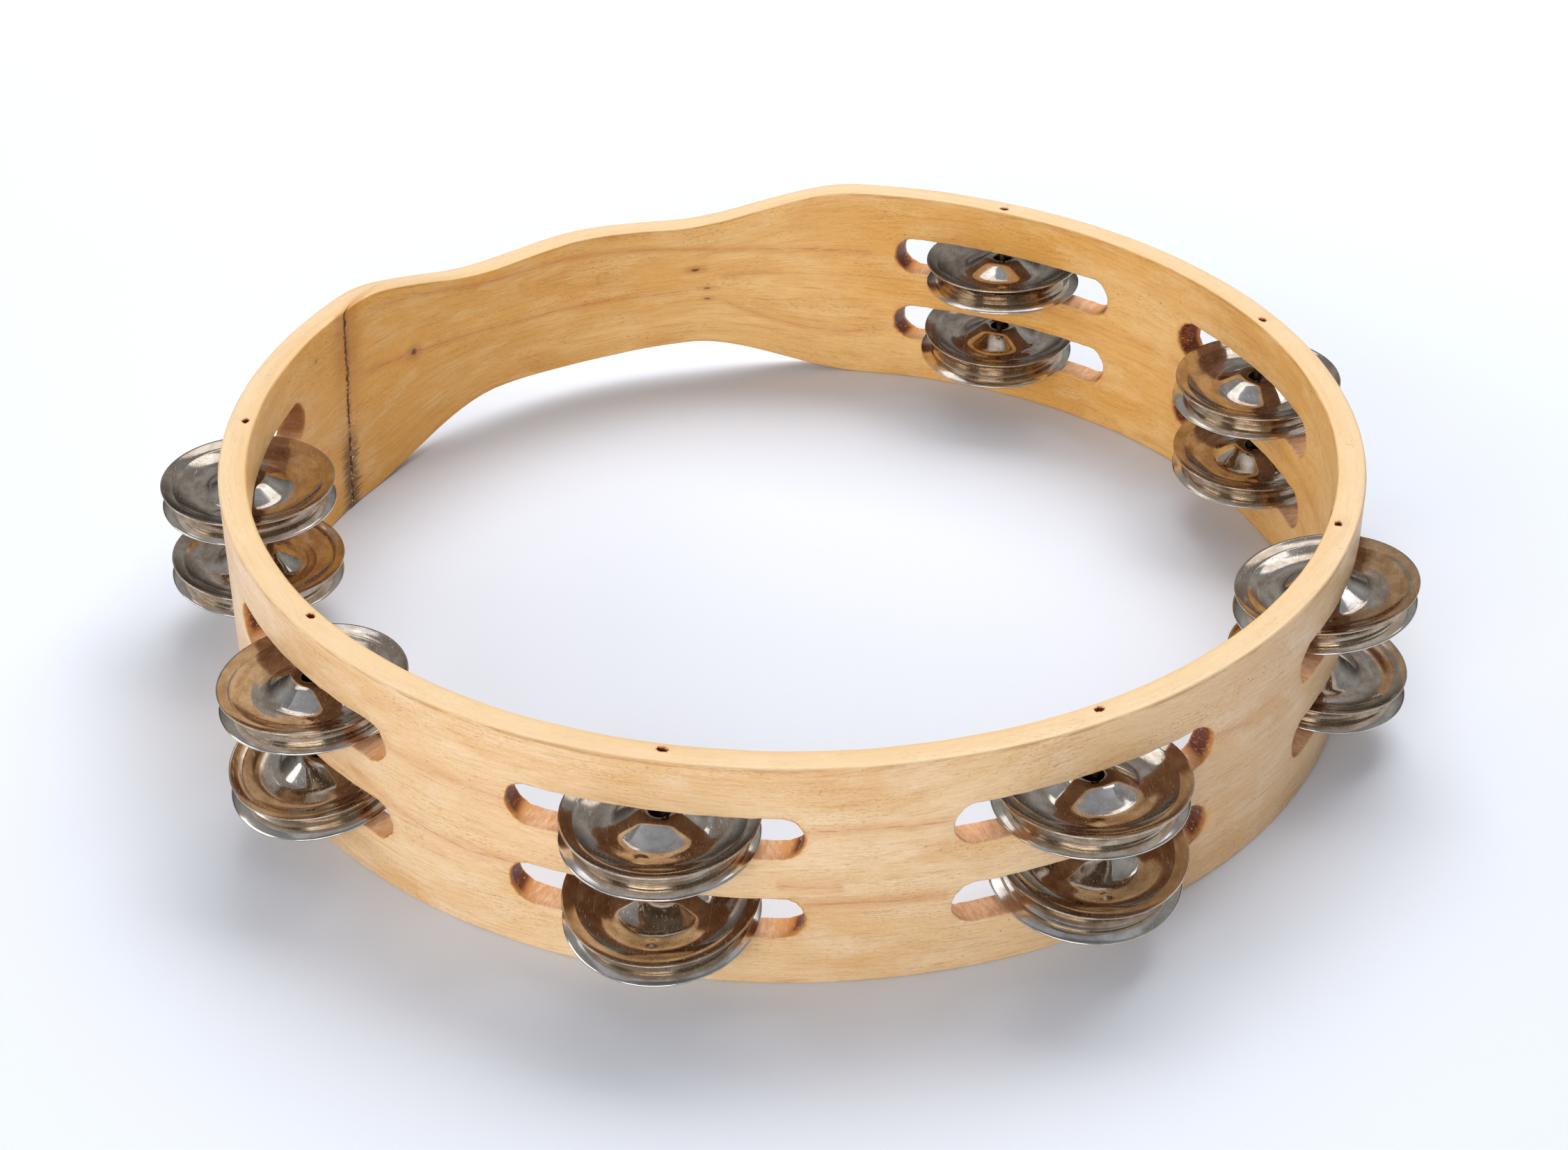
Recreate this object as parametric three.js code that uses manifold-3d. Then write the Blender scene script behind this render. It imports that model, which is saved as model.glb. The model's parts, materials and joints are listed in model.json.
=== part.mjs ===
// A headless wooden tambourine: a bent hoop with two rows of slots, and pairs of jingles threaded on
// steel pins. Millimetres, +Z up. The origin is the middle of the footprint on the plane that the
// hoop's bottom edge rests on, and the hand grip is towards +Y.
import * as THREE from "three";
import { mergeVertices } from "three/addons/utils/BufferGeometryUtils.js";
import Module from "manifold-3d";

// Hoop: one strip of wood bent to a circle.
const HOOP_OUTER_R = 127;
const HOOP_THICKNESS = 6.2;
const HOOP_HEIGHT = 52.8;
const HOOP_EDGE = 1.1;
const HOOP_STEPS = 90;

// Hand grip: a scallop in each edge of the hoop, with a low swell in the middle for the palm.
const GRIP_ANGLE = 90;
const GRIP_HALF_SPAN = 34.5;
const GRIP_SHOULDER = 22;
const GRIP_TOP_DEPTH = 9;
const GRIP_BOTTOM_DEPTH = 10.1;
const GRIP_TOP_SWELL = 1.4;
const GRIP_BOTTOM_SWELL = 0.5;

// Scarf joint: the strip's two ends are bevelled, lapped and glued.
const SCARF_INSIDE_ANGLE = 128.3;
const SCARF_OUTSIDE_ANGLE = 113;
const SCARF_STEPS = 6;
const SCARF_OVERRUN = 0.35;
const SCARF_CUT_MARGIN = 1;
const GLUE_THICKNESS = 0.4;

// Stations: each has a slot in both rows, and one pin through both.
const STATION_ANGLES = [37.7, -2, -45.6, -87.2, -127.4, -168.1, 152.7];
const PIN_CIRCLE_R = 123;
const SLOT_LAG_ANGLE = 1;
const SLOT_LENGTH = 59;
const SLOT_HEIGHT = 9.3;
const SLOT_END_SEGMENTS = 5;
const SLOT_CUTTER_LENGTH = 30;
const LOWER_SLOT_FLOOR = 12;
const UPPER_SLOT_FLOOR = 31.5;

// Pins: headless nails sunk below the top edge and driven into the bottom rail.
const PIN_R = 0.75;
const PIN_TIP_LENGTH = 2.5;
const PIN_BOTTOM = 3.5;
const PIN_SUNK = 0.9;
const PIN_SIDES = 10;
const FIT_GAP = 0.3;

// Jingles: an upturned rim, a ring valley and a boss round the pin hole that stands just above the rim.
const JINGLE_R = 19.6;
const JINGLE_BEND_R = 16.8;
const JINGLE_VALLEY_R = 13.2;
const JINGLE_BOSS_R = 5.5;
const JINGLE_HOLE_R = 2.3;
const JINGLE_RIM_DROP = 0.9;
const JINGLE_VALLEY_DEPTH = 2.1;
const JINGLE_BOSS_RISE = 0.2;
const JINGLE_THICKNESS = 0.5;
const JINGLE_SIDES = 18;

// How each pair hangs at rest, station by station. lean is the pair's tilt in degrees, outwards and
// then anticlockwise along the hoop; top and bottom are how far each jingle's hole sits off the pin,
// the same two ways.
const REST = [
  {
    upper: { lean: [1, 2], top: [1.1, 0.3], bottom: [-0.9, -0.7] },
    lower: { lean: [-3.5, -0.5], top: [1.1, 0.3], bottom: [-1.1, 0.3] },
  },
  {
    upper: { lean: [-2, -0.5], top: [-0.2, -0.8], bottom: [-0.7, -0.8] },
    lower: { lean: [-3.5, -1], top: [0.7, -0.8], bottom: [0.7, -0.8] },
  },
  {
    upper: { lean: [-7.5, -1.5], top: [-0.9, -0.6], bottom: [-0.9, -0.6] },
    lower: { lean: [5.5, 0], top: [-1.1, -0.3], bottom: [-1, -0.4] },
  },
  {
    upper: { lean: [-0.5, -0.5], top: [0.6, -0.9], bottom: [0.4, -1.1] },
    lower: { lean: [9, -1.5], top: [-0.7, 0.8], bottom: [0.2, -1.1] },
  },
  {
    upper: { lean: [2, -1], top: [-0.3, -0.9], bottom: [-0.1, -1.1] },
    lower: { lean: [9, -1.5], top: [0.4, -1], bottom: [0.2, -1.1] },
  },
  {
    upper: { lean: [2, -1.5], top: [1.1, -0.3], bottom: [1, -0.5] },
    lower: { lean: [11.5, 1], top: [0.9, -0.6], bottom: [1.1, -0.2] },
  },
  {
    upper: { lean: [-1, 0], top: [1.1, 0.1], bottom: [1.1, 0.3] },
    lower: { lean: [-3.5, 0.5], top: [0.5, 1], bottom: [1.1, 0.3] },
  },
];

const HOOP_INNER_R = HOOP_OUTER_R - HOOP_THICKNESS;
const HOOP_MIDDLE_R = (HOOP_INNER_R + HOOP_OUTER_R) / 2;
// The jingles stand out beyond the hoop at the front and not at the grip, so the hoop's own centre
// is behind the middle of the footprint.
const HOOP_CENTRE_Y = (PIN_CIRCLE_R + JINGLE_R - HOOP_OUTER_R) / 2;

const WOOD = { color: 0xd9b077, roughness: 0.45, metalness: 0 };
const DRIED_GLUE = { color: 0x5b3a1e, roughness: 0.5, metalness: 0 };
const NAIL_STEEL = { color: 0x4a4038, roughness: 0.45, metalness: 1 };
const PLATED_STEEL = { color: 0xb9b4ab, roughness: 0.14, metalness: 1 };

const wasm = await Module();
wasm.setup();

function toSolid(geometry) {
  const positions = new THREE.BufferGeometry();
  const source = geometry.index ? geometry.toNonIndexed() : geometry;
  positions.setAttribute("position", source.getAttribute("position"));
  const merged = mergeVertices(positions, 1e-4);
  return new wasm.Manifold(
    new wasm.Mesh({
      numProp: 3,
      vertProperties: new Float32Array(merged.attributes.position.array),
      triVerts: new Uint32Array(merged.index.array),
    }),
  );
}

function toGeometry(solid) {
  const { vertProperties, triVerts } = solid.getMesh();
  const geometry = new THREE.BufferGeometry();
  geometry.setAttribute("position", new THREE.BufferAttribute(new Float32Array(vertProperties), 3));
  geometry.setIndex(new THREE.BufferAttribute(new Uint32Array(triVerts), 1));
  geometry.computeVertexNormals();
  return geometry;
}

function makeMesh(name, geometry, finish) {
  const mesh = new THREE.Mesh(geometry, new THREE.MeshStandardMaterial({ ...finish, flatShading: true }));
  mesh.name = name;
  return mesh;
}

function radians(degrees) {
  return THREE.MathUtils.degToRad(degrees);
}

function onCircle(radius, degrees) {
  return new THREE.Vector2(radius * Math.cos(radians(degrees)), radius * Math.sin(radians(degrees)));
}

// A closed profile of [radius, height] points turned about +Z.
function turned(profile, sides) {
  const points = [...profile, profile[0]].map(([radius, height]) => new THREE.Vector2(radius, height));
  return new THREE.LatheGeometry(points, sides).rotateX(Math.PI / 2);
}

// How deep the grip's scallop is at an angle, as a share of its full depth, and how much of the
// palm swell is there.
function gripShare(degrees) {
  const fromMiddle = Math.abs(degrees - GRIP_ANGLE);
  const flat = GRIP_HALF_SPAN - GRIP_SHOULDER;
  const scallop = 1 - THREE.MathUtils.smoothstep(fromMiddle, flat, GRIP_HALF_SPAN);
  const swell = 1 - THREE.MathUtils.smoothstep(fromMiddle, 0, flat);
  return { scallop, swell };
}

// The whole ring of wood with softened edges and the grip's scallops, before any slot is cut.
function hoopBlank() {
  const profile = [
    [HOOP_INNER_R + HOOP_EDGE, 0],
    [HOOP_OUTER_R - HOOP_EDGE, 0],
    [HOOP_OUTER_R, HOOP_EDGE],
    [HOOP_OUTER_R, HOOP_HEIGHT - HOOP_EDGE],
    [HOOP_OUTER_R - HOOP_EDGE, HOOP_HEIGHT],
    [HOOP_INNER_R + HOOP_EDGE, HOOP_HEIGHT],
    [HOOP_INNER_R, HOOP_HEIGHT - HOOP_EDGE],
    [HOOP_INNER_R, HOOP_EDGE],
  ];
  const geometry = turned(profile, HOOP_STEPS);
  const position = geometry.getAttribute("position");
  for (let i = 0; i < position.count; i++) {
    const degrees = THREE.MathUtils.radToDeg(Math.atan2(position.getY(i), position.getX(i)));
    const { scallop, swell } = gripShare(degrees);
    const fromTop = GRIP_TOP_DEPTH * scallop - GRIP_TOP_SWELL * swell;
    const fromBottom = GRIP_BOTTOM_DEPTH * scallop - GRIP_BOTTOM_SWELL * swell;
    const isTop = position.getZ(i) > HOOP_HEIGHT / 2;
    position.setZ(i, position.getZ(i) + (isTop ? -fromTop : fromBottom));
  }
  return toSolid(geometry);
}

// A bar with round ends that runs radially through the hoop's wall at one station.
function slotCutter(degrees, floor) {
  const straight = (SLOT_LENGTH - SLOT_HEIGHT) / 2;
  const endR = SLOT_HEIGHT / 2;
  const outline = new THREE.Shape();
  outline.absarc(straight, 0, endR, -Math.PI / 2, Math.PI / 2, false);
  outline.absarc(-straight, 0, endR, Math.PI / 2, (3 * Math.PI) / 2, false);
  const bar = new THREE.ExtrudeGeometry(outline, {
    depth: SLOT_CUTTER_LENGTH,
    bevelEnabled: false,
    curveSegments: SLOT_END_SEGMENTS,
  });
  bar.rotateX(Math.PI / 2);
  bar.rotateZ(Math.PI / 2);
  bar.translate(HOOP_MIDDLE_R - SLOT_CUTTER_LENGTH / 2, 0, floor + endR);
  bar.rotateZ(radians(degrees - SLOT_LAG_ANGLE));
  return toSolid(bar);
}

function boreCutter(degrees) {
  const bottom = PIN_BOTTOM - FIT_GAP;
  const height = HOOP_HEIGHT + FIT_GAP - bottom;
  const bore = new THREE.CylinderGeometry(PIN_R + FIT_GAP, PIN_R + FIT_GAP, height, PIN_SIDES);
  const place = onCircle(PIN_CIRCLE_R, degrees);
  bore.rotateX(Math.PI / 2);
  bore.translate(place.x, place.y, bottom + height / 2);
  return toSolid(bore);
}

// The sheet between the two bevelled ends of the strip, from the inside face to the outside face. It
// runs on past both faces by a share of the wall's thickness, and past both edges by a margin.
function scarfSheet(thickness) {
  const edge = (side) => {
    const points = [];
    for (let i = 0; i <= SCARF_STEPS; i++) {
      const share = THREE.MathUtils.lerp(-SCARF_OVERRUN, 1 + SCARF_OVERRUN, i / SCARF_STEPS);
      const radius = HOOP_INNER_R + HOOP_THICKNESS * share + (side * thickness) / 2;
      points.push(onCircle(radius, THREE.MathUtils.lerp(SCARF_INSIDE_ANGLE, SCARF_OUTSIDE_ANGLE, share)));
    }
    return points;
  };
  const outline = new THREE.Shape([...edge(-1), ...edge(1).reverse()]);
  const depth = HOOP_HEIGHT + 2 * SCARF_CUT_MARGIN;
  const sheet = new THREE.ExtrudeGeometry(outline, { depth, bevelEnabled: false });
  sheet.translate(0, 0, -SCARF_CUT_MARGIN);
  return toSolid(sheet);
}

function makeHoop(blank) {
  let wood = blank.subtract(scarfSheet(GLUE_THICKNESS + 2 * FIT_GAP));
  for (const degrees of STATION_ANGLES) {
    wood = wood.subtract(slotCutter(degrees, LOWER_SLOT_FLOOR));
    wood = wood.subtract(slotCutter(degrees, UPPER_SLOT_FLOOR));
    wood = wood.subtract(boreCutter(degrees));
  }
  return makeMesh("hoop", toGeometry(wood), WOOD);
}

function makeGlueLine(blank) {
  return makeMesh("scarf_glue", toGeometry(blank.intersect(scarfSheet(GLUE_THICKNESS))), DRIED_GLUE);
}

function makePin(name, degrees) {
  const top = HOOP_HEIGHT - PIN_SUNK;
  const profile = [
    new THREE.Vector2(0, PIN_BOTTOM),
    new THREE.Vector2(PIN_R, PIN_BOTTOM + PIN_TIP_LENGTH),
    new THREE.Vector2(PIN_R, top),
    new THREE.Vector2(0, top),
  ];
  const pin = makeMesh(name, new THREE.LatheGeometry(profile, PIN_SIDES).rotateX(Math.PI / 2), NAIL_STEEL);
  const place = onCircle(PIN_CIRCLE_R, degrees);
  pin.position.set(place.x, place.y, 0);
  return pin;
}

// A jingle lying open side up, with the middle of its rim's thickness on z = 0.
function jingleGeometry() {
  const plate = [
    [JINGLE_HOLE_R, JINGLE_BOSS_RISE],
    [JINGLE_BOSS_R, 0],
    [JINGLE_VALLEY_R, -JINGLE_VALLEY_DEPTH],
    [JINGLE_BEND_R, -JINGLE_RIM_DROP],
    [JINGLE_R, 0],
  ];
  const underside = plate.map(([radius, height]) => [radius, height - JINGLE_THICKNESS / 2]);
  const topside = plate.map(([radius, height]) => [radius, height + JINGLE_THICKNESS / 2]);
  return turned([...underside, ...topside.reverse()], JINGLE_SIDES);
}

// Where the rims' middles lie above a slot's floor for a pair with this lean: the lower plate clears
// the floor by the gap, both under its rim across the whole width of the hoop's wall and under its
// boss, and the upper plate clears the lower one.
function pairHeights(lean) {
  const [outwards, along] = lean.map((degrees) => Math.tan(radians(Math.abs(degrees))));
  const wallReach = lean[0] > 0 ? HOOP_OUTER_R - PIN_CIRCLE_R : PIN_CIRCLE_R - HOOP_INNER_R;
  const rimDrop = outwards * wallReach + along * JINGLE_R;
  const bossDrop = JINGLE_BOSS_RISE + (outwards + along) * JINGLE_HOLE_R;
  const low = FIT_GAP + JINGLE_THICKNESS / 2 + Math.max(rimDrop, bossDrop);
  const apart = 2 * JINGLE_VALLEY_DEPTH + JINGLE_THICKNESS + FIT_GAP;
  return { bottom: low, top: low + apart };
}

function makeJingle(name, plate, side, height, rest) {
  const jingle = makeMesh(name, plate, PLATED_STEEL);
  if (side === "bottom") jingle.rotation.x = Math.PI;
  const seat = new THREE.Group();
  seat.position.set(rest[side][0], rest[side][1], height);
  seat.rotation.set(-radians(rest.lean[1]), radians(rest.lean[0]), 0);
  seat.add(jingle);
  return seat;
}

function makeStation(index, degrees, plate) {
  const station = new THREE.Group();
  const place = onCircle(PIN_CIRCLE_R, degrees);
  station.position.set(place.x, place.y, 0);
  station.rotation.z = radians(degrees);
  const floors = { upper: UPPER_SLOT_FLOOR, lower: LOWER_SLOT_FLOOR };
  for (const [row, floor] of Object.entries(floors)) {
    const rest = REST[index][row];
    const heights = pairHeights(rest.lean);
    for (const side of ["top", "bottom"]) {
      const name = `jingle_${index + 1}_${row}_${side}`;
      station.add(makeJingle(name, plate, side, floor + heights[side], rest));
    }
  }
  return station;
}

function makeTambourine() {
  const tambourine = new THREE.Group();
  const blank = hoopBlank();
  const plate = jingleGeometry();
  tambourine.position.y = HOOP_CENTRE_Y;
  tambourine.add(makeHoop(blank), makeGlueLine(blank));
  STATION_ANGLES.forEach((degrees, index) => {
    tambourine.add(makePin(`pin_${index + 1}`, degrees), makeStation(index, degrees, plate));
  });
  const group = new THREE.Group();
  group.add(tambourine);
  return group;
}

const group = makeTambourine();
export default group;
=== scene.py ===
"""The looks of a headless wooden tambourine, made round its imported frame.

The mesh code works in millimetres and in degrees round the hoop, anticlockwise from +X. add_object()
turns millimetres into metres. The shaders measure in millimetres too, through attributes that the
meshes carry: strip on the wood (along the strip, up it, and in from its outer face) and plate on the
jingles (across, across, and the radius).
"""

import json
import math
import random
from functools import partial, reduce

import bmesh
import bpy
import numpy as np
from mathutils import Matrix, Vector, noise
from mathutils.geometry import delaunay_2d_cdt

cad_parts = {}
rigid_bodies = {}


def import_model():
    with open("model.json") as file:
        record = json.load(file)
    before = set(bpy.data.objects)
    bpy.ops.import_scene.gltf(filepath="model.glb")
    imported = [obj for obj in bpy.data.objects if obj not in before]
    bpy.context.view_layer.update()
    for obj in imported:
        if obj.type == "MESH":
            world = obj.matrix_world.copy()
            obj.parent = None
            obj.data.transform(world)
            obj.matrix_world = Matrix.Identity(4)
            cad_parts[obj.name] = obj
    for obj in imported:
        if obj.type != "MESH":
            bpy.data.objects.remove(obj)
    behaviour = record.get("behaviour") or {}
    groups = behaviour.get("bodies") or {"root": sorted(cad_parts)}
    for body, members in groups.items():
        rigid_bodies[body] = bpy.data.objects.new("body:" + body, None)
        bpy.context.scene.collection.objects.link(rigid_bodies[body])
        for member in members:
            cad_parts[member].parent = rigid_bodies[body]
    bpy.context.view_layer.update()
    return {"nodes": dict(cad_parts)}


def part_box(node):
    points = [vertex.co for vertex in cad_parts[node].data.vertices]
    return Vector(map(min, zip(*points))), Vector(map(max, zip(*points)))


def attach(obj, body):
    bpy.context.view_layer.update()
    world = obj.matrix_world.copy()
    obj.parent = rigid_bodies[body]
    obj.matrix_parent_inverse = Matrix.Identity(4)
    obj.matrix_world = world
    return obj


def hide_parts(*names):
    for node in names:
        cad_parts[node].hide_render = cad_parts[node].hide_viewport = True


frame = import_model()

MM = 0.001
TURN = 360

# Hoop, from the frame where the frame says.
hoop_low, hoop_high = (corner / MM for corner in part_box("hoop"))
OUTER_R = max(hoop_high.x - hoop_low.x, hoop_high.y - hoop_low.y) / 2
CENTRE_Y = (hoop_low.y + hoop_high.y) / 2
HEIGHT = hoop_high.z - hoop_low.z
THICKNESS = 6.2
INNER_R = OUTER_R - THICKNESS
MIDDLE_R = OUTER_R - THICKNESS / 2
EDGE_R = 0.6
EDGE_TURNS = (30, 60)
COLUMN_STEP = 0.75

# Hand grip: a scallop in each edge with a low swell in the middle.
GRIP_ANGLE = 90
GRIP_HALF_SPAN = 34.5
GRIP_FLAT = 12.5
GRIP_TOP_DEPTH = 9
GRIP_BOTTOM_DEPTH = 10.1
GRIP_TOP_SWELL = 1.4
GRIP_BOTTOM_SWELL = 0.5

# Scarf joint: where the strip's bevelled ends meet on the outside and on the inside. Between the two
# lap angles the mesh's columns lean over to follow the joint.
SEAM_OUTSIDE = 113
SEAM_INSIDE_BOTTOM = 129
SEAM_INSIDE_TOP = 127.1
LAP_END = 137
LAP_START = 460

# Slots and pins.
STATION_COUNT = 7
SLOT_LAG = 1
SLOT_LENGTH = 59
SLOT_HEIGHT = 9.3
SLOT_FLOORS = {"lower": 12, "upper": 31.5}
SLOT_END_R = SLOT_HEIGHT / 2
SLOT_STRAIGHT = (SLOT_LENGTH - SLOT_HEIGHT) / 2
PIN_CIRCLE_R = 123
PIN_DEPTH = OUTER_R - PIN_CIRCLE_R
PIN_HOLE_ALONG = 1.1
PIN_HOLE_ACROSS = 0.75

# Jingles, open side up, with the middle of the rim's thickness at height 0.
JINGLE_R = 19.6
JINGLE_FLANGE_R = 17
JINGLE_VALLEY_R = 12.6
JINGLE_BOSS_FOOT_R = 10.3
JINGLE_BOSS_R = 3.9
JINGLE_HOLE_R = 2.3
JINGLE_FLANGE_DROP = 0.9
JINGLE_VALLEY_DEPTH = 2.35
JINGLE_BOSS_RISE = 0.6
JINGLE_THICKNESS = 0.46
JINGLE_SIDES = 96
FRAME_VALLEY_R = 13.2

# Camera: where it looks and from where, about the middle of the hoop's footprint.
CAMERA_AZIMUTH = -25.7
CAMERA_ELEVATION = 33.29
CAMERA_ROLL = -0.23
CAMERA_DISTANCE = 0.5838
CAMERA_TARGET = Vector((-0.0280, CENTRE_Y * MM - 0.0539, HEIGHT * MM))
CAMERA_LENS = 65.0
FLOOR_REACH = 9000


def smooth(low, high, value):
    """0 below low, 1 above high, and an eased climb between."""
    share = min(1, max(0, (value - low) / (high - low)))
    return share * share * (3 - 2 * share)


def straight_ramp(low, high, value):
    """Like smooth(), but straight but for a short bend at each end."""
    ease = 0.15
    share = min(1, max(0, (value - low) / (high - low)))
    slope = 1 / (1 - ease)
    if share < ease:
        return slope * share**2 / (2 * ease)
    if share > 1 - ease:
        return 1 - slope * (1 - share) ** 2 / (2 * ease)
    return slope * (share - ease / 2)


def lerp(start, end, share):
    return start + (end - start) * share


def turns(count):
    """That many even steps round a circle, in radians."""
    return np.radians(np.linspace(0, TURN, count, endpoint=False))


def wavy(x, y, z, size):
    """Smooth noise from about -1 to 1 that changes over about that size."""
    return noise.noise(Vector((x, y, z)) / size)


def colour(code):
    """An sRGB hex code as the linear colour that shaders use."""
    channels = [int(code[i : i + 2], 16) / 255 for i in (0, 2, 4)]
    linear = [c / 12.92 if c <= 0.04045 else ((c + 0.055) / 1.055) ** 2.4 for c in channels]
    return (*linear, 1)


# ------------ shaders


class Shader:
    """One material's nodes. Each method adds a node and returns its output, so looks read as sums."""

    def __init__(self, name):
        self.material = bpy.data.materials.new(name)
        self.material.use_nodes = True
        self.tree = self.material.node_tree
        self.tree.nodes.clear()

    def node(self, kind, inputs=None, **settings):
        """A new node. inputs says what goes into which of its sockets."""
        made = self.tree.nodes.new("ShaderNode" + kind)
        for name, value in settings.items():
            setattr(made, name, value)
        for socket, value in (inputs or {}).items():
            self.feed(made.inputs[socket], value)
        return made

    def feed(self, socket, value):
        """Sets a socket: from another node's output, a number or vector, or a colour's hex code."""
        if isinstance(value, bpy.types.NodeSocket):
            self.tree.links.new(value, socket)
        else:
            socket.default_value = colour(value) if isinstance(value, str) else value

    def math(self, operation, *values):
        return self.node("Math", dict(enumerate(values)), operation=operation).outputs[0]

    def times(self, *values):
        return reduce(partial(self.math, "MULTIPLY"), values)

    def plus(self, *values):
        return reduce(partial(self.math, "ADD"), values)

    def minus(self, first, second):
        return self.math("SUBTRACT", first, second)

    def over(self, first, second):
        return self.math("DIVIDE", first, second)

    def attribute(self, name):
        return self.node("Attribute", attribute_name=name).outputs["Vector"]

    def split(self, vector):
        return tuple(self.node("SeparateXYZ", {0: vector}).outputs)

    def join(self, *values):
        return self.node("CombineXYZ", dict(enumerate(values))).outputs[0]

    def stretch(self, vector, scale, shift=(0, 0, 0), turn=0):
        rotation = (0, 0, math.radians(turn))
        inputs = {"Vector": vector, "Location": shift, "Rotation": rotation, "Scale": scale}
        return self.node("Mapping", inputs).outputs[0]

    def shifted(self, vector, shift):
        return self.node("VectorMath", {0: vector, 1: shift}, operation="ADD").outputs[0]

    def noise(self, vector, scale=None, shift=(0, 0, 0), detail=2.0, roughness=0.5):
        place = self.stretch(vector, scale, shift) if scale else vector
        inputs = {"Vector": place, "Scale": 1.0, "Detail": detail, "Roughness": roughness}
        return self.node("TexNoise", inputs).outputs[0]

    def centred(self, value, reach):
        """A value from 0 to 1 made to swing about zero, over that range."""
        return self.times(self.plus(value, -0.5), reach)

    def cells(self, vector, output="Distance"):
        return self.node("TexVoronoi", {"Vector": vector, "Scale": 1.0}).outputs[output]

    def band(self, value, low, high, start=0.0, end=1.0):
        """start below low, end above high, and an eased change between."""
        inputs = {"Value": value, "From Min": low, "From Max": high, "To Min": start, "To Max": end}
        return self.node("MapRange", inputs, interpolation_type="SMOOTHSTEP").outputs[0]

    def fade(self, value, low, high):
        return self.band(value, low, high, 1.0, 0.0)

    def curve(self, value, points):
        """A smooth curve through (input, output) points, all between 0 and 1."""
        made = self.node("FloatCurve", {"Value": value})
        line = made.mapping.curves[0]
        line.points[0].location = points[0]
        line.points[1].location = points[-1]
        for place in points[1:-1]:
            line.points.new(*place)
        made.mapping.update()
        return made.outputs[0]

    def mix(self, share, first, second):
        inputs = {0: share, 6: first, 7: second}
        return self.node("Mix", inputs, data_type="RGBA", clamp_factor=True).outputs[2]

    def bump(self, height, distance_mm, strength):
        inputs = {"Strength": strength, "Distance": distance_mm * MM, "Height": height}
        return self.node("Bump", inputs).outputs[0]

    def finish(self, **looks):
        inputs = {name.replace("_", " "): value for name, value in looks.items()}
        shader = self.node("BsdfPrincipled", inputs)
        output = self.node("OutputMaterial")
        self.tree.links.new(shader.outputs[0], output.inputs[0])
        return self.material


# Growth lines that stand out on the wood: the face, how strong the line is, and the angles and
# heights it passes through. Angles run on from the scarf joint, so past 360.
GROWTH_LINES = (
    ("inside", 1.0, (
        (410.7, 35.8), (425.6, 37.9), (438.7, 43.5), (449, 45.8), (472, 49), (484.7, 48.3),
    )),
    ("inside", 1.0, (
        (435.5, 24.2), (449.3, 24.9), (458.3, 26.5), (469.5, 29.5), (475.7, 31.2), (486.8, 33.5),
    )),
    ("inside", 0.8, ((411.4, 14), (425.6, 12.5), (430, 15.5), (434, 21))),
    ("inside", 0.6, ((424.7, 29.8), (429.1, 29.8), (433.5, 28.5))),
    ("inside", 0.6, ((330, 26), (365, 28.5), (400, 27.5))),
    ("outside", 0.8, ((197.9, 27), (204.5, 22.8), (211.2, 20.3), (220, 21.3))),
    ("outside", 0.6, ((204, 37), (209.6, 36.3), (219, 36))),
    ("outside", 0.9, ((244, 37.9), (251.4, 38.1), (258.6, 37.8))),
    ("outside", 0.9, ((244.5, 20), (251.5, 20.1), (258.5, 19.6))),
    ("outside", 0.8, ((242.4, 24.8), (248.8, 24.2))),
    ("outside", 0.6, ((272, 37.8), (281.4, 38.2), (292, 33.3))),
    ("outside", 0.5, ((330, 28), (350, 27.5), (372, 25.5))),
)

# Pin knots on the inside face: angle, height, half-length along, half-height, and how dark.
KNOTS = (
    (436.2, 33.4, 1.6, 0.9, 1.0),
    (434.7, 24.6, 1.4, 0.7, 0.8),
    (434.7, 19.9, 1.2, 0.6, 0.8),
    (475.7, 31.2, 1.3, 1.4, 1.0),
    (133.6, 46.2, 0.5, 0.4, 0.8),
)


def flat_along(angle):
    """Millimetres along the middle of the strip, for an angle."""
    return MIDDLE_R * math.radians(angle)


def along_strip(angle):
    """Millimetres along the middle of the strip from its outside end to an angle."""
    return flat_along(angle - SEAM_OUTSIDE)


def seam_distance(s, along, height, depth):
    """Millimetres along the hoop from the scarf joint's line, negative on the strip's far end."""
    inside = s.band(height, 0, HEIGHT, along_strip(SEAM_INSIDE_BOTTOM), along_strip(SEAM_INSIDE_TOP))
    line = s.times(inside, s.over(depth, THICKNESS))
    from_start = s.minus(along, line)
    length = along_strip(SEAM_OUTSIDE + TURN)
    is_far_end = s.math("GREATER_THAN", from_start, length / 2)
    return s.minus(from_start, s.times(is_far_end, length))


def growth_line(s, along, height, depth, line):
    """How much of one growth line is here: a thin broken core in a soft band."""
    face, strength, path = line
    start, end = along_strip(path[0][0]), along_strip(path[-1][0])
    share = s.over(s.plus(along, -start), end - start)
    points = [((along_strip(angle) - start) / (end - start), level / HEIGHT) for angle, level in path]
    drift = s.noise(s.join(s.times(along, 0.05), start, 0.0), detail=4.0)
    middle = s.plus(s.times(s.curve(share, points), HEIGHT), s.centred(drift, 1.6))
    away = s.math("ABSOLUTE", s.minus(height, middle))
    ends = s.times(s.band(share, 0.0, 0.08), s.fade(share, 0.9, 1.0))
    broken = s.band(s.noise(s.join(s.times(along, 0.25), s.times(height, 2.5), 0.0)), 0.35, 0.6, 0.2, 1.0)
    on_face = s.band(depth, 2.0, 4.5) if face == "inside" else s.fade(depth, 2.0, 4.5)
    core = s.times(s.fade(away, 0.05, 0.5), broken)
    soft = s.times(s.band(away, 0.2, 2.4, 0.5, 0.0), s.band(drift, 0.3, 0.6, 0.5, 1.0))
    return s.times(s.math("MAXIMUM", core, soft), ends, on_face, strength)


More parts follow.
